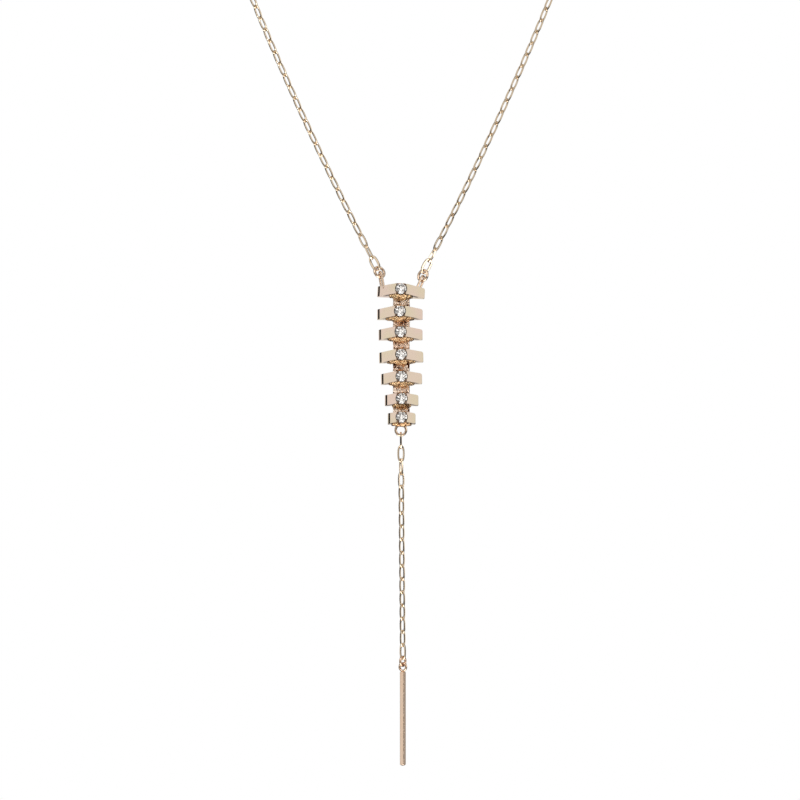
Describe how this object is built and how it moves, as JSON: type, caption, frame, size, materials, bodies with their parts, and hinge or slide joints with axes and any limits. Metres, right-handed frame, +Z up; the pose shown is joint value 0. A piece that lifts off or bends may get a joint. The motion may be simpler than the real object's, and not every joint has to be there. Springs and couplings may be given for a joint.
{
  "type": "drop necklace",
  "caption": "Drop necklace: a curved spine of bar ribs, each with a round clear stone, on a fine oval-link chain, with a chain drop that ends in a slim square bar.",
  "frame": {"origin": "the middle of the loop at the back of the neck, where the necklace hangs", "axes": "+Z up, the front of the pendant faces -Y, +X to the right as seen from the front"},
  "size_m": [0.1114, 0.1163, 0.2257],
  "materials": {
    "rose_metal": "polished rose gold",
    "chain_metal": "polished pale gold",
    "stone": "clear cut stone"
  },
  "bodies": {
    "necklace": {"rib_pendant": "rose_metal", "stone_1": "stone", "stone_2": "stone", "stone_3": "stone", "stone_4": "stone", "stone_5": "stone", "stone_6": "stone", "stone_7": "stone", "jump_ring_left": "rose_metal", "jump_ring_right": "rose_metal", "chain_left": "chain_metal", "chain_right": "chain_metal", "drop_chain": "chain_metal", "bar_ring": "rose_metal", "clasp": "chain_metal", "end_ring": "chain_metal"},
    "bar": {"bar_drop": "rose_metal"}
  },
  "joints": [
    {"name": "bar_swing", "type": "hinge", "parent": "necklace", "child": "bar", "pos_m": [0.0003, -0.11276, -0.20228], "axis": [0.515, 0.8572, 0], "range_deg": [-85, 85]}
  ]
}
